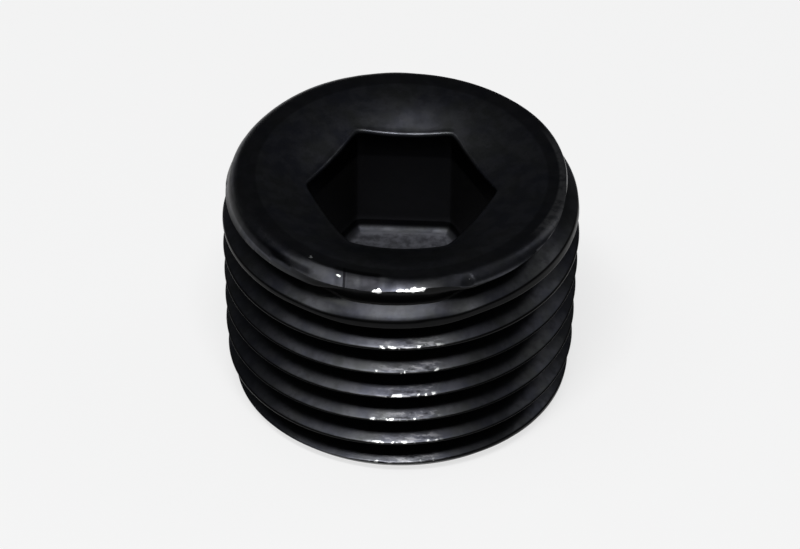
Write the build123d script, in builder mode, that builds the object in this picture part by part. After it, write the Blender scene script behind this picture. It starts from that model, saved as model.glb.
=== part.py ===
from build123d import *
import math
import os

# Tapered pipe plug with a hexagon socket, half-inch nominal size, made of one piece.
# The plug stands on its small end at Z = 0 and is driven from the large end, upwards.
# All lengths are in millimetres and all angles in degrees.

# Standard sizes of the plug
INCH = 25.4
THREADS_PER_INCH = 14
PITCH = INCH / THREADS_PER_INCH
LENGTH = INCH * 9 / 16
HEX_ACROSS_FLATS = INCH * 3 / 8
SOCKET_DEPTH = INCH * 5 / 16
TAPER_ON_RADIUS = 1 / 32
CREST_RADIUS_AT_FACE = 10.43

# Form of the thread groove and of the cutter's tooth
THREAD_ANGLE = 60.0
CREST_FLAT = 0.06
ROOT_FLAT = 0.20
TOOTH_LIP = 0.02
TOOTH_RELIEF = 0.50

# Turns of the groove from the small end up. Each starts on the +X side. In one turn the
# groove climbs by the stated number of pitches and the tooth backs out by the stated part
# of a pitch.
FULL_TURNS = 6
FULL_TURNS_DROP = 5.15
EASING_CLIMB = 1.05
EASING_BACK_OUT = 0.10
RUNOUT_CLIMB = 1.145
RUNOUT_BACK_OUT = 0.29
RUNOUT_LAST_PART = 0.75

# Turned blank. Each inset is how far an edge lies inside the crests at the large face.
FACE_INSET = 0.93
FACE_CHAMFER = 0.60
SHOULDER_HEIGHT = 1.00
SMALL_FACE_INSET = 1.33
SMALL_CHAMFER = 0.65
LEAD_HEIGHT = 2.60

# Dished mouth, which lies off the plug's axis towards -Y: an arc that leaves the large face
# smoothly and then a cone
DISH_OFFSET = 0.85
DISH_INSET = 0.68
DISH_ARC_RADIUS = 8.75
DISH_SLOPE = 22.0


def crest_radius(height):
    """Radius over the thread crests at a height above the small end."""
    return CREST_RADIUS_AT_FACE - (LENGTH - height) * TAPER_ON_RADIUS


# Derived sizes
half_angle_tangent = math.tan(math.radians(THREAD_ANGLE / 2))
groove_half_width = (PITCH - CREST_FLAT) / 2
root_half_width = ROOT_FLAT / 2
thread_depth = (groove_half_width - root_half_width) / half_angle_tangent
lip_half_width = groove_half_width + TOOTH_LIP * half_angle_tangent
thread_start = LENGTH - FULL_TURNS_DROP - FULL_TURNS * PITCH
face_radius = CREST_RADIUS_AT_FACE - FACE_INSET
small_face_radius = CREST_RADIUS_AT_FACE - SMALL_FACE_INSET
chamfer_foot = LENGTH - FACE_CHAMFER
shoulder_foot = chamfer_foot - SHOULDER_HEIGHT

dish_radius = CREST_RADIUS_AT_FACE - DISH_INSET
dish_arc_run = DISH_ARC_RADIUS * math.sin(math.radians(DISH_SLOPE))
dish_arc_drop = DISH_ARC_RADIUS * (1 - math.cos(math.radians(DISH_SLOPE)))
dish_cone_radius = dish_radius - dish_arc_run
dish_tip_drop = dish_arc_drop + dish_cone_radius * math.tan(math.radians(DISH_SLOPE))

cutter_turns = [(1, 1, 0)] * FULL_TURNS
cutter_turns.append((1, EASING_CLIMB, EASING_BACK_OUT))
cutter_turns.append((1, RUNOUT_CLIMB, RUNOUT_BACK_OUT))
cutter_turns.append((RUNOUT_LAST_PART, RUNOUT_CLIMB, RUNOUT_BACK_OUT))

# Thread cutter: the tooth swept along the groove, one solid for each turn. A turn starts from
# the face on which the one below it ends. The tooth is drawn looking along the groove.
turn_start = Vector(crest_radius(thread_start), 0, thread_start)
with BuildSketch(Plane.ZX) as tooth:
    with Locations((turn_start.Z, turn_start.X)):
        Polygon(
            (-root_half_width, -thread_depth),
            (-lip_half_width, TOOTH_LIP),
            (-root_half_width, TOOTH_RELIEF),
            (root_half_width, TOOTH_RELIEF),
            (lip_half_width, TOOTH_LIP),
            (root_half_width, -thread_depth),
            align=None,
        )

tooth_face = tooth.sketch.face()
cutters = []
for part_of_turn, climb, back_out in cutter_turns:
    rise = climb * PITCH
    cone_angle = math.degrees(math.atan(TAPER_ON_RADIUS + back_out / climb))
    with BuildPart() as cutter:
        with BuildLine():
            groove_path = Helix(
                pitch=rise / math.cos(math.radians(cone_angle)),
                height=part_of_turn * rise,
                radius=turn_start.X,
                center=(0, 0, turn_start.Z),
                cone_angle=cone_angle,
            )
        sweep(sections=tooth_face, is_frenet=True)
    cutters.append(cutter.part)
    turn_start = groove_path @ 1
    tooth_face = cutter.faces().sort_by_distance(turn_start)[0]

with BuildPart() as pipe_plug:
    # Turned blank with a chamfer at each end
    with BuildSketch(Plane.XZ):
        Polygon(
            (0, 0),
            (small_face_radius, 0),
            (small_face_radius + SMALL_CHAMFER, SMALL_CHAMFER),
            (crest_radius(LEAD_HEIGHT), LEAD_HEIGHT),
            (crest_radius(shoulder_foot), shoulder_foot),
            (face_radius + FACE_CHAMFER, chamfer_foot),
            (face_radius, LENGTH),
            (0, LENGTH),
            align=None,
        )
    revolve(axis=Axis.Z)

    # Right-hand thread groove, at full depth and then running out below the large face
    for cutter in cutters:
        add(cutter, mode=Mode.SUBTRACT)

    # Dished mouth around the socket
    with BuildSketch(Plane.XZ.offset(DISH_OFFSET)):
        with BuildLine():
            Line((0, LENGTH - dish_tip_drop), (dish_cone_radius, LENGTH - dish_arc_drop))
            RadiusArc(
                (dish_cone_radius, LENGTH - dish_arc_drop),
                (dish_radius, LENGTH),
                DISH_ARC_RADIUS,
            )
            Polyline(
                (dish_radius, LENGTH),
                (dish_radius, LENGTH + FACE_CHAMFER),
                (0, LENGTH + FACE_CHAMFER),
                (0, LENGTH - dish_tip_drop),
            )
        make_face()
    revolve(axis=Axis((0, -DISH_OFFSET, 0), (0, 0, 1)), mode=Mode.SUBTRACT)

    # Hexagon socket, with two of its flats facing -Y and +Y
    with BuildSketch(Plane.XY.offset(LENGTH)):
        RegularPolygon(HEX_ACROSS_FLATS / 2, 6, major_radius=False)
    extrude(amount=-SOCKET_DEPTH, mode=Mode.SUBTRACT)

os.makedirs("parts", exist_ok=True)
pipe_plug.part.label = "pipe_plug"
export_step(pipe_plug.part, "parts/pipe_plug.step")
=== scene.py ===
import functools
import math

import bmesh
import bpy
from mathutils import Matrix, Vector


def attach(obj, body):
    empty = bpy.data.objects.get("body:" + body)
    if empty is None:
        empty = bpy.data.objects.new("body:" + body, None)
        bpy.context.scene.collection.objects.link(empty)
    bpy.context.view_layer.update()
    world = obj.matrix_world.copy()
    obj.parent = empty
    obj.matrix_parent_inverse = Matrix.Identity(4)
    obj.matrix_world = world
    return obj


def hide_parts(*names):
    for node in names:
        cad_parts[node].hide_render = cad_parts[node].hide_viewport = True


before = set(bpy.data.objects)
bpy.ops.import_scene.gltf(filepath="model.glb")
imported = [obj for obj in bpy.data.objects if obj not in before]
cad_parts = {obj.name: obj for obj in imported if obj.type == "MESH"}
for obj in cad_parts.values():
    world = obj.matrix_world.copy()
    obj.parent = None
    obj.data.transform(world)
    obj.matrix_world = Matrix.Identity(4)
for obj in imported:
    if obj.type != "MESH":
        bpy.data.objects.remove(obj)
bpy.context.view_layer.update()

mm = 0.001

# ---------------------------------------------------------------------------
# The plug is one piece of steel bar, turned to a 1 in 16 taper, chamfered at its small end and
# rolled over at its large end. A 60 degree thread is cut up the taper and backs out under the
# large face, which is dished and punched with a hexagon socket. It is blackened in hot salts.
# ---------------------------------------------------------------------------
mm_per_inch = 25.4
pitch = mm_per_inch / 14 * mm
plug_length = mm_per_inch * 9 / 16 * mm
hex_half_width = mm_per_inch * 3 / 16 * mm
socket_depth = mm_per_inch * 5 / 16 * mm

# Turned outside: the taper over the crests, and the chamfer and lead at the small end
taper_on_radius = 1 / 32
crest_radius_at_face = 10.43 * mm
small_face_radius = 9.10 * mm
small_chamfer = 0.65 * mm
lead_slope = 0.16
lead_blend = 0.10 * mm

# Shoulder above the thread: its radius at one level, from which it narrows upwards
shoulder_radius = 10.11 * mm
shoulder_level = 13.30 * mm
shoulder_slope = 0.11
shoulder_blend = 0.12 * mm

# Dished large face, which lies off the axis towards -Y: a cone that an arc leads into
dish_offset = 0.85 * mm
dish_radius = 9.75 * mm
dish_arc = 8.75 * mm
dish_slope = math.radians(22)

# Rolled outer edge of the large face: an arc, and then a run outwards for each bit of fall. It
# starts further in on the -X side, over a range of the cosine of the angle from there.
edge_inner_radius = 9.12 * mm
edge_arc = 1.00 * mm
edge_run_per_fall = 0.35
edge_width_at_most = 1.7 * mm
edge_foot = 13 * mm
edge_blend = 0.03 * mm
corner_height_guess = 13.7 * mm
wide_side = (0.5, 0.9)
wide_side_inset = 0.12 * mm

# Bruise on the -Y side of that edge, beaten to a plain facet left of its middle, with the
# shoulder below pushed out. Its ends are cosines of the angle from the +X side, each with the
# start and the end of a soft step.
bruise_left = (-0.80, -0.45)
bruise_right = (0.44, 0.17)
bruise_inset = 0.03 * mm
bruise_wider_arc = 0.50 * mm
facet_left = (-0.76, -0.50)
facet_right = (0.03, -0.15)
facet_set_out = 0.25 * mm
facet_slope = 0.85
facet_blend = 0.10 * mm
pushed_out = 0.11 * mm
pushed_out_right = (0.20, 0.12)

# Thread groove. Turns are counted from the start of the cut, and each begins on the +X side.
full_turns = 6
full_turns_drop = 5.15 * mm
thread_start = plug_length - full_turns_drop - full_turns * pitch
thread_half_angle = math.radians(30)
flank_run = math.tan(thread_half_angle)
root_half_width = 0.10 * mm
thread_depth = 1.346 * mm
easing_climb = 1.05
runout_climb = 1.145
crest_blend = 0.10 * mm
least_reach = 0.16 * pitch
first_reach = 0.4 * pitch
most_reach = 0.53 * pitch

# Spring of the tool in the last two whole laps of the cut: in each it rode up and sagged over the
# same part of a turn. In the last one the groove also spread there, and its crests are rounder.
last_lap = full_turns + 1
spring_start = (0.655, 0.715)
spring_end = (0.838, 0.785)
spring_sag = {full_turns: 0.12 * mm, last_lap: 0.18 * mm}
spring_lift = {full_turns: 0.19 * mm, last_lap: 0.54 * mm}
spread_below = 0.33
spread_above = 1.40
sprung_crest_blend = 0.08 * mm

# At the end of that stretch it jumped up, dug in deeper and then backed out
jump_turns = (7.83, 7.98)
jump = 0.30 * mm
dig_in_turns = (7.85, 7.98)
dig_in = 0.40 * mm
back_out_turns = (8.04, 8.52)
back_out = 1.9 * mm


def smaller(a, b, blend):
    """The smaller of two lengths, with the corner where they cross rounded off."""
    near = max(blend - abs(a - b), 0) / blend
    return min(a, b) - near * near * blend / 4


def ease(value, start, end):
    """A smooth step from 0 to 1 between two values."""
    part = min(max((value - start) / (end - start), 0), 1)
    return part * part * (3 - 2 * part)


def crest_line(z):
    """Radius over the thread crests."""
    return crest_radius_at_face - (plug_length - z) * taper_on_radius


def dish_drop(angle, radius):
    """How far the dished face lies below the large end."""
    off_centre = math.hypot(radius * math.cos(angle), radius * math.sin(angle) + dish_offset)
    cone_radius = dish_radius - dish_arc * math.sin(dish_slope)
    if off_centre > dish_radius:
        return 0.0
    if off_centre > cone_radius:
        return dish_arc - math.sqrt(dish_arc * dish_arc - (dish_radius - off_centre) ** 2)
    arc_drop = dish_arc - dish_arc * math.cos(dish_slope)
    return arc_drop + (cone_radius - off_centre) * math.tan(dish_slope)


@functools.lru_cache(maxsize=None)
def bruised(angle):
    """Share of the bruise, where the outer edge is beaten flatter."""
    if math.sin(angle) >= 0:
        return 0.0
    across = math.cos(angle)
    return ease(across, *bruise_left) * ease(across, *bruise_right)


@functools.lru_cache(maxsize=None)
def beaten(angle):
    """Share of the bruise that is beaten to a plain facet."""
    across = math.cos(angle)
    return bruised(angle) * ease(across, *facet_left) * ease(across, *facet_right)


@functools.lru_cache(maxsize=None)
def edge_start(angle):
    """Radius where the rolled edge begins, a little further in on the -X side."""
    inset = bruise_inset * bruised(angle) + wide_side_inset * ease(-math.cos(angle), *wide_side)
    return edge_inner_radius - inset + facet_set_out * beaten(angle)


def edge_drop(angle, run):
    """How far the outer edge has fallen at a distance out from its start."""
    arc = edge_arc + bruise_wider_arc * bruised(angle)
    inside = min(run, arc)
    rolled = arc - math.sqrt(arc * arc - inside * inside) + (run - inside) / edge_run_per_fall
    facet = math.hypot(facet_slope * run, facet_blend) - facet_blend
    return rolled + (facet - rolled) * beaten(angle)


def top_height(angle, radius):
    """Height of the large end, with the dish and the outer edge taken off."""
    run = max(radius - edge_start(angle), 0)
    return plug_length - dish_drop(angle, radius) - edge_drop(angle, run)


def edge_radius(angle, z):
    """Radius of the outer edge at a height, found by halving."""
    inner = edge_start(angle)
    outer = inner + edge_width_at_most
    for halving in range(13):
        middle = (inner + outer) / 2
        if top_height(angle, middle) > z:
            inner = middle
        else:
            outer = middle
    return inner


def shoulder_line(angle, z):
    """Radius of the shoulder, which narrows a little towards the large end."""
    out = pushed_out * bruised(angle) * ease(math.cos(angle), *pushed_out_right)
    return shoulder_radius + out + (shoulder_level - z) * shoulder_slope


def corner_height(angle):
    """Height of the corner between the rolled edge and the shoulder."""
    height = corner_height_guess
    for settling in range(4):
        height = top_height(angle, shoulder_line(angle, height))
    return height


def blank_radius(angle, z):
    """Radius of the turned outside before the thread is cut: taper, shoulder, lead and chamfer."""
    lead_line = small_face_radius + small_chamfer + (z - small_chamfer) * lead_slope
    outside = smaller(crest_line(z), shoulder_line(angle, z), shoulder_blend)
    outside = smaller(outside, lead_line, lead_blend)
    return smaller(outside, small_face_radius + z, lead_blend)


@functools.lru_cache(maxsize=None)
def sprung(turn, lap):
    """Share of the tool's spring in a lap."""
    return ease(turn - lap, *spring_start) * ease(turn - lap, *spring_end)


@functools.lru_cache(maxsize=None)
def groove_centre(turn):
    """Height of the middle of the groove after so many turns."""
    easing = min(max(turn - full_turns, 0), 1)
    runout = max(turn - last_lap, 0)
    climb = pitch * (min(turn, full_turns) + easing_climb * easing + runout_climb * runout)
    sag = sum(amount * sprung(turn, lap) for lap, amount in spring_sag.items())
    return thread_start + climb - sag + jump * ease(turn, *jump_turns)


@functools.lru_cache(maxsize=None)
def groove_root(turn):
    """Radius of the bottom of the groove after so many turns."""
    lift = sum(amount * sprung(turn, lap) for lap, amount in spring_lift.items())
    lift += back_out * ease(turn, *back_out_turns) - dig_in * ease(turn, *dig_in_turns)
    return crest_line(groove_centre(turn)) - thread_depth + lift


@functools.lru_cache(maxsize=None)
def side_run(turn, side):
    """How far the groove's lower (-1) or upper (1) side runs in height for each bit of depth."""
    spring = sprung(turn, last_lap)
    return flank_run + (spread_below * spring if side < 0 else spread_above * spring * spring)


@functools.lru_cache(maxsize=None)
def groove_reach(turn, side):
    """How far the groove goes below (side -1) or above (side 1) its middle."""
    reach = first_reach
    for settling in range(14):
        outside = blank_radius(turn * math.tau, groove_centre(turn) + side * reach)
        reach = root_half_width + (outside - groove_root(turn)) * side_run(turn, side)
        reach = min(max(reach, least_reach), most_reach)
    return reach


def outside_radius(angle, z):
    """Radius of the threaded outside."""
    radius = blank_radius(angle, z)
    if z > edge_foot:
        radius = smaller(radius, edge_radius(angle, z), edge_blend)
    nearest = math.floor((z - thread_start) / pitch - angle / math.tau)
    for ring in range(nearest - 2, nearest + 4):
        turn = ring + angle / math.tau
        off_middle = z - groove_centre(turn)
        climb = max(abs(off_middle) - root_half_width, 0)
        flank = groove_root(turn) + climb / side_run(turn, math.copysign(1, off_middle))
        blend = crest_blend + sprung_crest_blend * sprung(turn, last_lap)
        radius = smaller(radius, flank, blend)
    return radius


# The outside's mesh stands on spokes around the axis. It begins as one upright column of points,
# spun up the thread. Across one pitch its points are stations, from the crest below a groove to
# the groove's upper edge: parts of a crest or flank, steps from the groove's edges, and the root.
spokes = 420
weld = 0.0005 * mm
corner_part = 0.3
edge_steps = (0.0, 0.03 * mm, 0.07 * mm)
stations = [("crest", part) for part in (0.12, corner_part, 0.5, 0.7, 0.88)]
stations += [("lower edge", step) for step in edge_steps]
stations += [("lower flank", part) for part in (0.35, 0.68)]
stations += [("root", side) for side in (-1, 0, 1)]
stations += [("upper flank", part) for part in (0.32, 0.65)]
stations += [("upper edge", -step) for step in reversed(edge_steps)]
per_pitch = len(stations)
column_pitches = 11
column_radius = 10 * mm

plug = bmesh.new()
column = []
for number in range(-per_pitch, column_pitches * per_pitch):
    height = thread_start + (number / per_pitch - 0.5) * pitch
    column.append(plug.verts.new((column_radius, 0, height)))
column_edges = [plug.edges.new(pair) for pair in zip(column, column[1:])]
bmesh.ops.spin(
    plug,
    geom=column + column_edges,
    axis=(0, 0, 1),
    dvec=(0, 0, pitch / spokes),
    angle=math.tau,
    steps=spokes,
)
bmesh.ops.remove_doubles(plug, verts=plug.verts, dist=weld)


def spoke_angle(point):
    """Angle of the spoke that a vertex stands on, counted from the +X side."""
    number = round(math.atan2(point.y, point.x) / math.tau * spokes) % spokes
    return number / spokes * math.tau


def on_spoke(angle, radius, z):
    """Place on a spoke at a radius and a height."""
    return Vector((radius * math.cos(angle), radius * math.sin(angle), z))


# The crest that meets the bruised edge: one of its stations follows the corner of the edge
bruised_ring = 8
corner_gap = 0.03 * mm


def crest_height(angle, ring, foot, head, part):
    """Height of a station on a crest between its foot and its head."""
    height = foot + (head - foot) * part
    if ring == bruised_ring and bruised(angle) > 0 and part <= corner_part:
        corner = max(corner_height(angle), foot + corner_gap)
        return corner if part == corner_part else min(height, (foot + corner) / 2)
    return height


def station_height(angle, ring, mark, step):
    """Height of a station of one ring of the groove."""
    turn = ring + angle / math.tau
    middle = groove_centre(turn)
    bottom = middle - groove_reach(turn, -1)
    top = middle + groove_reach(turn, 1)
    if mark == "crest":
        crest_foot = groove_centre(turn - 1) + groove_reach(turn - 1, 1)
        return crest_height(angle, ring, crest_foot, bottom, step)
    if mark == "lower edge":
        return bottom + step
    if mark == "lower flank":
        return bottom + (middle - root_half_width - bottom) * step
    if mark == "root":
        return middle + step * root_half_width
    if mark == "upper flank":
        return middle + root_half_width + (top - middle - root_half_width) * step
    return top + step


columns = {}
for vert in plug.verts:
    angle = spoke_angle(vert.co)
    pitches_up = (vert.co.z - thread_start) / pitch - angle / math.tau + 0.5
    ring, number = divmod(round(pitches_up * per_pitch), per_pitch)
    height = station_height(angle, ring, *stations[number])
    columns.setdefault(angle, []).append((height, vert))

# Each column ends on the rolled edge, where the large end's rings begin, and has a point on the
# corner of the small end's chamfer
seam_radius = 9.47 * mm
lowest = 0.03 * mm
for angle, members in columns.items():
    seam_height = top_height(angle, seam_radius)
    heights = {vert: min(max(height, lowest), seam_height) for height, vert in members}
    nearest = min(heights, key=lambda vert: abs(heights[vert] - small_chamfer))
    heights[nearest] = small_chamfer
    for vert, height in heights.items():
        vert.co = on_spoke(angle, outside_radius(angle, height), height)
bmesh.ops.remove_doubles(plug, verts=plug.verts, dist=weld)

# Rings of the large end, from the seam inwards: the rest of the rolled edge, the dished face,
# the rounded rim, the walls of the socket, the fillet at their foot and the bottom
rim_round = 0.24 * mm
rim_drop = 1.15 * rim_round
foot_fillet = 0.60 * mm
bottom_height = plug_length - socket_depth
socket_corner_cut = 0.06 * mm
socket_corner_blend = 0.2 * mm
edge_rings = 4
face_rings = 18
rim_rings = 5
wall_rings = 6
foot_rings = 4
rings = [("edge", step / edge_rings) for step in range(1, edge_rings + 1)]
rings += [("face", step / face_rings) for step in range(1, face_rings + 1)]
rings += [("rim", math.radians(90 / rim_rings * step)) for step in range(1, rim_rings + 1)]
rings += [("wall", step / wall_rings) for step in range(1, wall_rings + 1)]
rings += [("foot", math.radians(90 / foot_rings * step)) for step in range(1, foot_rings + 1)]
rings += [("bottom", inset * mm) for inset in (0.3, 1.0, 2.0, 3.0)]


def socket_radius(angle, off_flat):
    """Radius of the hexagon, or of a line that runs beside it so far from its flats."""
    half_flat = math.radians(30)
    from_flat = angle % (2 * half_flat) - half_flat
    flat = hex_half_width + off_flat
    corner = flat / math.cos(half_flat) - socket_corner_cut
    return smaller(flat / math.cos(from_flat), corner, socket_corner_blend)


def large_end_point(angle, kind, step):
    """Where a ring of the large end crosses a spoke."""
    edge_radius_here = edge_start(angle)
    rim_radius = socket_radius(angle, rim_round)
    rim_height = top_height(angle, rim_radius)
    wall_top = rim_height - rim_drop
    wall_foot = bottom_height + foot_fillet
    if kind == "edge":
        radius = seam_radius + (edge_radius_here - seam_radius) * step
        return on_spoke(angle, radius, top_height(angle, radius))
    if kind == "face":
        radius = edge_radius_here + (rim_radius - edge_radius_here) * step
        return on_spoke(angle, radius, top_height(angle, radius))
    if kind == "rim":
        radius = socket_radius(angle, rim_round * (1 - math.sin(step)))
        return on_spoke(angle, radius, wall_top + (rim_height - wall_top) * math.cos(step))
    if kind == "wall":
        height = wall_top + (wall_foot - wall_top) * step
        return on_spoke(angle, socket_radius(angle, 0), height)
    if kind == "foot":
        radius = socket_radius(angle, foot_fillet * (math.cos(step) - 1))
        return on_spoke(angle, radius, wall_foot - foot_fillet * math.sin(step))
    return on_spoke(angle, socket_radius(angle, -foot_fillet - step), bottom_height)


def grow_ring(edges, place_on):
    """Extrude an open ring of edges and put its new points where a function of the angle says."""
    grown = bmesh.ops.extrude_edge_only(plug, edges=edges)["geom"]
    for vert in grown:
        if isinstance(vert, bmesh.types.BMVert):
            vert.co = place_on(spoke_angle(vert.co))
    return [edge for edge in grown if isinstance(edge, bmesh.types.BMEdge)]


open_edges = [edge for edge in plug.edges if edge.is_boundary]
top_edges = [edge for edge in open_edges if edge.verts[0].co.z > plug_length / 2]
small_edges = [edge for edge in open_edges if edge.verts[0].co.z < plug_length / 2]
for kind, step in rings:
    top_edges = grow_ring(top_edges, lambda angle: large_end_point(angle, kind, step))
bmesh.ops.contextual_create(plug, geom=top_edges)

# The small end is faced flat, with its edge just broken
small_end_rings = (
    (small_face_radius, 0.008 * mm),
    (small_face_radius - 0.04 * mm, 0.0),
    (small_face_radius - 0.50 * mm, 0.0),
)
for radius, height in small_end_rings:
    small_edges = grow_ring(small_edges, lambda angle: on_spoke(angle, radius, height))
bmesh.ops.contextual_create(plug, geom=small_edges)
bmesh.ops.triangulate(plug, faces=plug.faces, quad_method="SHORT_EDGE")
bmesh.ops.recalc_face_normals(plug, faces=plug.faces)

plug_mesh = bpy.data.meshes.new("plug_body")
plug.to_mesh(plug_mesh)
plug.free()
plug_mesh.shade_smooth()
sharp_from = math.radians(38)
plug_mesh.set_sharp_from_angle(angle=sharp_from)
plug_body = bpy.data.objects.new("plug_body", plug_mesh)
bpy.context.scene.collection.objects.link(plug_body)

# Black oxide over bright steel. The lengths in it are in millimetres, and each limit of a mark
# is soft, given by the values at which it starts and ends. Left is -X and the front is -Y.
blackening = bpy.data.materials.new("black_oxide")
blackening.use_nodes = True
shader = blackening.node_tree.nodes["Principled BSDF"]
shader.inputs["Metallic"].default_value = 1.0
shader.inputs["Specular Tint"].default_value = (0.7, 0.7, 0.7, 1)


def add_node(tree, kind, inputs=(), **settings):
    """A new node of a material, with its inputs linked or set."""
    made = tree.nodes.new("ShaderNode" + kind)
    for name, value in settings.items():
        setattr(made, name, value)
    for place, value in dict(inputs).items():
        if isinstance(value, bpy.types.NodeSocket):
            tree.links.new(value, made.inputs[place])
        else:
            made.inputs[place].default_value = value
    return made


node = functools.partial(add_node, blackening.node_tree)


def worked_out(operation, a, b=0.0, c=0.0):
    """The result of a piece of arithmetic on up to three values."""
    return node("Math", {0: a, 1: b, 2: c}, operation=operation).outputs[0]


def overlap(first, *others):
    """Share where all of several shares hold at once."""
    for other in others:
        first = worked_out("MULTIPLY", first, other)
    return first


def ramp(value, limits, levels=(0.0, 1.0)):
    """A value taken smoothly from one level to another between its limits."""
    inputs = {0: value, 1: limits[0], 2: limits[1], 3: levels[0], 4: levels[1]}
    return node("MapRange", inputs, interpolation_type="SMOOTHSTEP").outputs[0]


def band(value, rise, fall):
    """Share that comes on over a rise of a value and goes off over its fall."""
    return overlap(ramp(value, rise), ramp(value, fall))


def squeezed(place, factors):
    """A place scaled along each axis, so that a pattern on it is drawn out where this is small."""
    return node("VectorMath", {0: place, 1: factors}, operation="MULTIPLY").outputs[0]


def grain(scale, detail, roughness, squeeze=None):
    """A cloudy pattern through the steel, from 0 to 1."""
    place = squeezed(in_mm, squeeze) if squeeze else in_mm
    inputs = {"Vector": place, "Scale": scale, "Detail": detail, "Roughness": roughness}
    return node("TexNoise", inputs).outputs["Fac"]


def blend_colour(share, first, second):
    """The first colour, with a share of the second in its place."""
    return node("Mix", {0: share, 6: first, 7: second}, data_type="RGBA").outputs[2]


def turned_line(slope, radius_at_small_end):
    """Radius of a straight line of the turned outside at this height."""
    return worked_out("MULTIPLY_ADD", z_mm, slope, radius_at_small_end / mm)


# Where a point lies: its place, its radius, and how far it is inside the turned outside
own_place = node("TexCoord").outputs["Object"]
in_mm = node("VectorMath", {0: own_place, 3: 1 / mm}, operation="SCALE").outputs[0]
x_mm, y_mm, z_mm = node("SeparateXYZ", {0: in_mm}).outputs
squares = worked_out("ADD", worked_out("POWER", x_mm, 2.0), worked_out("POWER", y_mm, 2.0))
radius_mm = worked_out("SQRT", squares)
crest_here = turned_line(taper_on_radius, crest_radius_at_face - plug_length * taper_on_radius)
shoulder_here = turned_line(-shoulder_slope, shoulder_radius + shoulder_slope * shoulder_level)
lead_at_zero = small_face_radius + small_chamfer - lead_slope * small_chamfer
lead_here = turned_line(lead_slope, lead_at_zero)
blank_here = worked_out("MINIMUM", crest_here, worked_out("MINIMUM", shoulder_here, lead_here))
inside_blank = worked_out("SUBTRACT", blank_here, radius_mm)

# The oxide itself: two tones in clouds, lighter upright streaks, darker mottling, and black in
# the depth of the groove
cloud = grain(scale=0.45, detail=3.0, roughness=0.55)
mottle = grain(scale=2.2, detail=4.0, roughness=0.6)
fine_grain = grain(scale=14.0, detail=3.0, roughness=0.6)
blue_oxide = (0.040, 0.042, 0.053, 1)
grey_oxide = (0.047, 0.049, 0.050, 1)
streak_grey = (0.082, 0.083, 0.094, 1)
mottle_black = (0.030, 0.030, 0.033, 1)
groove_black = (0.018, 0.018, 0.020, 1)
groove_side = (0.15, 0.70)
groove_bottom = (1.7, 1.5)
finish = blend_colour(ramp(cloud, (0.35, 0.65)), blue_oxide, grey_oxide)
streaks = grain(scale=1.1, detail=2.0, roughness=0.5, squeeze=(1.0, 1.0, 0.2))
finish = blend_colour(ramp(streaks, (0.40, 0.62), (0.0, 0.40)), finish, streak_grey)
finish = blend_colour(ramp(mottle, (0.45, 0.75), (0.0, 0.6)), finish, mottle_black)
in_groove = overlap(
    ramp(inside_blank, groove_side, (0.0, 0.55)), ramp(inside_blank, groove_bottom)
)
finish = blend_colour(in_groove, finish, groove_black)

# A lighter stretch below the left end of the bruise
light_grey = (0.085, 0.088, 0.086, 1)
stretch_left = (-5.6, -4.8)
stretch_right = (-2.2, -3.2)
stretch_front = (-6.8, -7.4)
stretch_foot = (11.9, 12.1)
stretch_top = (13.2, 13.0)
light_stretch = overlap(
    band(x_mm, stretch_left, stretch_right),
    ramp(y_mm, stretch_front),
    ramp(z_mm, stretch_foot),
    ramp(z_mm, stretch_top, (0.0, 0.7)),
)
finish = blend_colour(light_stretch, finish, light_grey)

# Sharp edges are worn lighter by handling, in patches, but only those that face upwards, so the
# mark is part wear and part painted highlight
wear_and_highlight_grey = (0.32, 0.31, 0.29, 1)
wear_and_highlight_strength = 0.2
wear_and_highlight_bend = (0.995, 0.93)
highlight_upward = (0.1, 0.5)
edge_rounding = 0.08 * mm
rounded = node("Bevel", {"Radius": edge_rounding}, samples=6).outputs[0]
true_normal = node("NewGeometry").outputs["Normal"]
alike = node("VectorMath", {0: rounded, 1: true_normal}, operation="DOT_PRODUCT").outputs["Value"]
rounded_upward = node("SeparateXYZ", {0: rounded}).outputs[2]
# Painted highlight as well as wear: the lighter edges are kept to those that face upwards
wear_and_highlight = overlap(
    ramp(alike, wear_and_highlight_bend),
    ramp(mottle, (0.42, 0.62)),
    ramp(rounded_upward, highlight_upward),
    wear_and_highlight_strength,
)
finish = blend_colour(wear_and_highlight, finish, wear_and_highlight_grey)

# The socket's bottom is painted bright in patches, a painted light, and dark where its fillet
# begins, a painted shade, most of all on the +X side
socket_painted_light_grey = (0.255, 0.26, 0.295, 1)
fillet_painted_shade_grey = (0.03, 0.03, 0.035, 1)
across_slanting_flat = (0.866, 0.5)
socket_side = (5.6, 5.4)
socket_foot = (6.95, 6.55)
bottom_flats = (4.50, 4.10)
fillet_rise = (6.37, 6.47)
fillet_right = (-2.2, 1.4)
in_socket = overlap(ramp(radius_mm, socket_side), ramp(z_mm, socket_foot))
far_x = worked_out("ABSOLUTE", x_mm)
far_y = worked_out("ABSOLUTE", y_mm)
far_slanting = worked_out("MULTIPLY", far_y, across_slanting_flat[1])
far_slanting = worked_out("MULTIPLY_ADD", far_x, across_slanting_flat[0], far_slanting)
from_axis = worked_out("MAXIMUM", far_y, far_slanting)
patches = ramp(mottle, (0.35, 0.65), (0.45, 1.0))
# Painted light: the bright patches on the socket's bottom
socket_painted_light = overlap(in_socket, patches, ramp(from_axis, bottom_flats))
# Painted shade: the dark foot of the fillet, strongest on the +X side
fillet_painted_shade = overlap(ramp(z_mm, fillet_rise), ramp(x_mm, fillet_right, (0.20, 0.92)))
socket_painted_colour = blend_colour(fillet_painted_shade, socket_painted_light_grey, fillet_painted_shade_grey)
finish = blend_colour(socket_painted_light, finish, socket_painted_colour)
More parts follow.
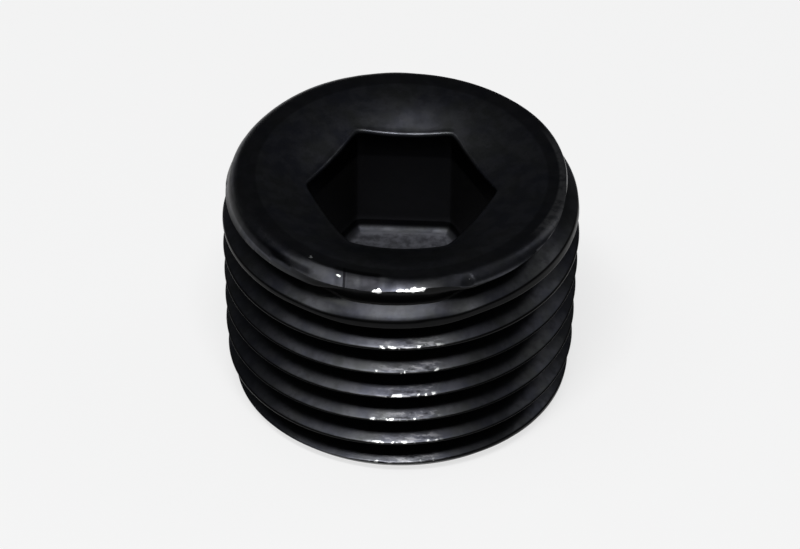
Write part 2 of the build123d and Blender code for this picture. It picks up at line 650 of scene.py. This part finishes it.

# The socket's walls are a lighter grey, and a black line along the top of the fillet is a painted
# shade
wall_grey = (0.28, 0.28, 0.30, 1)
fillet_shade_black = (0.007, 0.007, 0.008, 1)
wall_side = (5.6, 5.5)
grey_foot = (6.90, 7.10)
grey_top = (11.9, 11.6)
line_foot = (6.55, 6.72)
line_top = (7.05, 6.95)
on_wall = overlap(band(z_mm, grey_foot, grey_top), ramp(radius_mm, wall_side))
finish = blend_colour(on_wall, finish, wall_grey)
# Painted shade: the black line along the top of the fillet
fillet_shade_line = overlap(band(z_mm, line_foot, line_top), ramp(radius_mm, wall_side, (0.0, 0.8)))
finish = blend_colour(fillet_shade_line, finish, fillet_shade_black)

# The crests' flats and all that faces sideways or down are painted a dull black, a painted shade,
# a little greyer on the left of the shoulder
dull_black = (0.009, 0.009, 0.009, 1)
dull_grey = (0.028, 0.029, 0.031, 1)
dull_strength = 0.95
flat_depth = (0.11, 0.04)
flats_top = (13.35, 13.25)
sideways = (0.28, 0.05)
grey_shoulder_foot = (12.9, 13.1)
grey_shoulder_left = (-4.4, -6.0)
upward = node("SeparateXYZ", {0: true_normal}).outputs[2]
on_flat = overlap(ramp(inside_blank, flat_depth), ramp(z_mm, flats_top))
painted_shade_share = worked_out("MAXIMUM", on_flat, ramp(upward, sideways))
shoulder_left = overlap(ramp(z_mm, grey_shoulder_foot), ramp(x_mm, grey_shoulder_left))
painted_shade_colour = blend_colour(shoulder_left, dull_black, dull_grey)
# Painted shade on the crests' flats and on all that faces sideways or down
finish = blend_colour(overlap(painted_shade_share, dull_strength), finish, painted_shade_colour)

# The rolled edge is painted lighter on its right side, a painted highlight, and darker on its left
# side, a painted shade
edge_highlight_grey = (0.16, 0.16, 0.165, 1)
edge_black = (0.004, 0.004, 0.005, 1)
rolled_inner = (9.0, 9.15)
rolled_foot = (13.35, 13.45)
highlight_right = (6.0, 7.5)
highlight_back = (5.0, 3.0)
highlight_front = (-5.4, -4.0)
shade_left = (-4.60, -5.10)
shade_outer = (10.12, 10.02)
shade_inner = (9.70, 9.88)
rolled_edge = overlap(ramp(radius_mm, rolled_inner), ramp(z_mm, rolled_foot))
# Painted highlight on the right side of the rolled edge
edge_painted_highlight = overlap(
    ramp(x_mm, highlight_right),
    ramp(mottle, (0.35, 0.55), (0.3, 0.75)),
    ramp(y_mm, highlight_back),
    ramp(y_mm, highlight_front),
    rolled_edge,
)
finish = blend_colour(edge_painted_highlight, finish, edge_highlight_grey)
# Painted shade on the left side of the rolled edge
edge_painted_shade = overlap(
    ramp(x_mm, shade_left, (0.0, 0.78)),
    ramp(radius_mm, shade_outer, (0.4, 1.0)),
    ramp(radius_mm, shade_inner),
    rolled_edge,
)
finish = blend_colour(edge_painted_shade, finish, edge_black)

# The bruise's facet darkens from left to right in three steps, each with its share of black, as
# far as the chips. A thin black scratch runs down it.
facet_steps = (
    ((-3.60, -3.30), (0.0, 0.45)),
    ((-2.84, -2.76), (0.0, 0.27)),
    ((-2.15, -1.90), (0.0, 0.13)),
)
facet_end = (-0.60, -1.05)
facet_front = (-7.0, -7.6)
scratch_left = (-3.03, -2.97)
scratch_right = (-2.79, -2.85)
scratch_strength = 0.93
darkened = 0.0
for limits, levels in facet_steps:
    darkened = worked_out("ADD", darkened, ramp(x_mm, limits, levels))
darkened = overlap(darkened, ramp(x_mm, facet_end))
scratch = overlap(band(x_mm, scratch_left, scratch_right), scratch_strength)
darkened = worked_out("MAXIMUM", darkened, scratch)
front_of_edge = overlap(rolled_edge, ramp(y_mm, facet_front))
finish = blend_colour(overlap(darkened, front_of_edge), finish, edge_black)

# Chips are knocked out of the bruised edge, down to bare steel. Each is a place and a radius;
# they are ragged and longer along the edge than across it.
bare_steel = (0.62, 0.63, 0.62, 1)
chips = (
    (-1.05, -10.08, 13.70, 0.19),
    (0.25, -10.13, 13.85, 0.12),
    (0.70, -10.10, 13.85, 0.15),
    (1.12, -10.05, 13.86, 0.19),
    (1.47, -9.99, 13.88, 0.20),
    (-3.18, -9.06, 13.96, 0.13),
    (2.12, -9.90, 13.83, 0.09),
    (4.25, -8.95, 13.90, 0.07),
    (-4.9, -7.75, 14.16, 0.10),
)
along_edge = (0.6, 1.0, 1.2)
raggedness = 0.4
chip_core = 0.8
noise_middle = (0.5, 0.5, 0.5)
ragged = node("TexNoise", {"Vector": in_mm, "Scale": 4.0, "Detail": 3.0}).outputs["Color"]
ragged = node("VectorMath", {0: ragged, 1: noise_middle}, operation="SUBTRACT").outputs[0]
ragged = node("VectorMath", {0: ragged, 3: raggedness}, operation="SCALE").outputs[0]
shaken = node("VectorMath", {0: in_mm, 1: ragged}, operation="ADD").outputs[0]
shaken = squeezed(shaken, along_edge)
chipped = 0.0
for *chip_place, size in chips:
    middle = [place * factor for place, factor in zip(chip_place, along_edge)]
    off = node("VectorMath", {0: shaken, 1: middle}, operation="DISTANCE").outputs["Value"]
    chipped = worked_out("MAXIMUM", chipped, ramp(off, (size, size * chip_core)))

# The front of the crests has nicks along their upper edges, in a few gatherings
nick_strength = 0.65
front_left = (-1.6, -0.8)
front_right = (3.0, 2.0)
front_side = (-8.0, -9.0)
front_top = (11.2, 11.0)
upward_slope = (0.20, 0.40)
crest_edge_depth = (0.20, 0.13)
nicks = ramp(grain(scale=3.6, detail=3.0, roughness=0.6, squeeze=(1.0, 1.0, 0.25)), (0.50, 0.56))
gatherings = ramp(grain(scale=0.9, detail=1.0, roughness=0.5), (0.48, 0.54))
front = overlap(
    band(x_mm, front_left, front_right), ramp(y_mm, front_side), ramp(z_mm, front_top)
)
facing_up = ramp(upward, upward_slope)
crest_edge = overlap(ramp(inside_blank, crest_edge_depth), facing_up)
nicked = overlap(overlap(nicks, gatherings), overlap(front, crest_edge), nick_strength)

# There the finish of the flanks is also rubbed through in streaks, and pitted between them
rub_grey = (0.17, 0.17, 0.18, 1)
pit_black = (0.008, 0.008, 0.009, 1)
flank_depth = (0.75, 0.35)
rubs_left = (-1.0, 0.6)
rubs = grain(scale=3.0, detail=4.0, roughness=0.65, squeeze=(0.5, 1.0, 2.2))
on_flank = overlap(ramp(inside_blank, flank_depth), facing_up)
rub_zone = overlap(front, on_flank, ramp(x_mm, rubs_left, (0.3, 1.0)))
rubbed = overlap(rub_zone, ramp(rubs, (0.52, 0.60), (0.0, 0.55)))
pitted = overlap(rub_zone, ramp(rubs, (0.45, 0.38), (0.0, 0.75)))
finish = blend_colour(rubbed, finish, rub_grey)
finish = blend_colour(pitted, finish, pit_black)
finish = blend_colour(nicked, finish, bare_steel)
finish = blend_colour(chipped, finish, bare_steel)
blackening.node_tree.links.new(finish, shader.inputs["Base Color"])

# The sheen follows the mottling and is duller in the socket, and the skin is faintly grainy
socket_roughness = 0.22
fine_share = 0.35
roughness = ramp(mottle, (0.3, 0.7), (0.30, 0.36))
inside = worked_out("MAXIMUM", in_socket, on_wall)
roughness = worked_out("MULTIPLY_ADD", inside, socket_roughness, roughness)
blackening.node_tree.links.new(roughness, shader.inputs["Roughness"])
bumps = worked_out("ADD", overlap(fine_grain, fine_share), mottle)
bump = node("Bump", {"Strength": 0.2, "Distance": 0.02 * mm, "Height": bumps})
blackening.node_tree.links.new(bump.outputs[0], shader.inputs["Normal"])
plug_mesh.materials.append(blackening)

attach(plug_body, "root")
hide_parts("pipe_plug")

# ---------------------------------------------------------------------------
# The floor is a plain sheet of white card under the plug. Most of its white is a glow that only
# the camera, metal and glass see, so it keeps the plug's shadow and the glow doesn't light it.
# ---------------------------------------------------------------------------
card_half_size = 0.5
card_white = (0.85, 0.85, 0.85, 1)
card_roughness = 0.9
glow_share = 0.72

card = bmesh.new()
bmesh.ops.create_grid(card, x_segments=1, y_segments=1, size=card_half_size)
card_mesh = bpy.data.meshes.new("floor_card")
card.to_mesh(card_mesh)
card.free()
floor = bpy.data.objects.new("floor_card", card_mesh)
bpy.context.scene.collection.objects.link(floor)

white_card = bpy.data.materials.new("white_card")
white_card.use_nodes = True
card_node = functools.partial(add_node, white_card.node_tree)
card_shader = white_card.node_tree.nodes["Principled BSDF"]
card_shader.inputs["Base Color"].default_value = card_white
card_shader.inputs["Roughness"].default_value = card_roughness
ray = card_node("LightPath").outputs
seen = card_node("Math", {0: ray["Is Camera Ray"], 1: ray["Is Glossy Ray"]}, operation="MAXIMUM")
through = {0: seen.outputs[0], 1: ray["Is Transmission Ray"]}
seen_or_through = card_node("Math", through, operation="MAXIMUM")
shown = {0: seen_or_through.outputs[0], 1: glow_share}
glow_seen = card_node("Math", shown, operation="MULTIPLY")
glow = card_node("Emission", {"Strength": 1.0})
mix = {0: glow_seen.outputs[0], 1: card_shader.outputs[0], 2: glow.outputs[0]}
mixed = card_node("MixShader", mix)
surface = white_card.node_tree.nodes["Material Output"].inputs["Surface"]
white_card.node_tree.links.new(mixed.outputs[0], surface)
card_mesh.materials.append(white_card)

# ---------------------------------------------------------------------------
# Light and camera: a soft key lamp high on the viewer's side, three faint lamps over and beside
# the plug, a dim room around them, and a long lens that looks down on the plug.
# ---------------------------------------------------------------------------
room_grey = (0.080, 0.083, 0.087, 1)
room = bpy.data.worlds.new("dim_room")
room.use_nodes = True
room.node_tree.nodes["Background"].inputs["Color"].default_value = room_grey
room.node_tree.nodes["Background"].inputs["Strength"].default_value = 1.0
bpy.context.scene.world = room

# Each lamp's name, the way to it from the plug, its width and length in metres, and its watts
lamps = (
    ("key_lamp", (-0.05, -0.40, 0.91), 0.23, 0.07, 1.65),
    ("high_lamp", (-0.02, 0.05, 1.00), 0.05, 0.24, 0.11),
    ("left_lamp", (-0.46, -0.18, 0.86), 0.30, 0.12, 0.19),
    ("right_lamp", (0.62, 0.30, 0.72), 0.12, 0.20, 0.08),
)
lamp_distance = 0.5
plug_middle = Vector((0, 0, plug_length / 2))
for name, direction, width, length, watts in lamps:
    lamp_data = bpy.data.lights.new(name, "AREA")
    lamp_data.shape = "RECTANGLE"
    lamp_data.size = width
    lamp_data.size_y = length
    lamp_data.energy = watts
    lamp = bpy.data.objects.new(name, lamp_data)
    towards = Vector(direction).normalized()
    facing = towards.to_track_quat("Z", "Y").to_matrix().to_4x4()
    lamp.matrix_world = Matrix.Translation(plug_middle + towards * lamp_distance) @ facing
    bpy.context.scene.collection.objects.link(lamp)

# The camera stands a little right of the front, and its picture is turned by a small roll
azimuth = math.radians(1.66)
elevation = math.radians(39.24)
roll = math.radians(0.86)
camera_distance = 0.501
aim_below_middle = 0.276 * mm
aim_left_of_middle = 0.019 * mm
camera_data = bpy.data.cameras.new("camera")
camera_data.lens = 388.9
camera_data.sensor_width = 36
camera_data.clip_start = 0.01
camera = bpy.data.objects.new("camera", camera_data)
back = Vector((
    math.sin(azimuth) * math.cos(elevation),
    -math.cos(azimuth) * math.cos(elevation),
    math.sin(elevation),
))
level = Vector((math.cos(azimuth), math.sin(azimuth), 0))
rising = back.cross(level)
aim = plug_middle - rising * aim_below_middle - level * aim_left_of_middle
picture_right = level * math.cos(roll) + rising * math.sin(roll)
picture_up = rising * math.cos(roll) - level * math.sin(roll)
turned = Matrix((picture_right, picture_up, back)).transposed().to_4x4()
camera.matrix_world = Matrix.Translation(aim + back * camera_distance) @ turned
bpy.context.scene.collection.objects.link(camera)
bpy.context.scene.camera = camera

bpy.context.scene.view_settings.view_transform = "Standard"
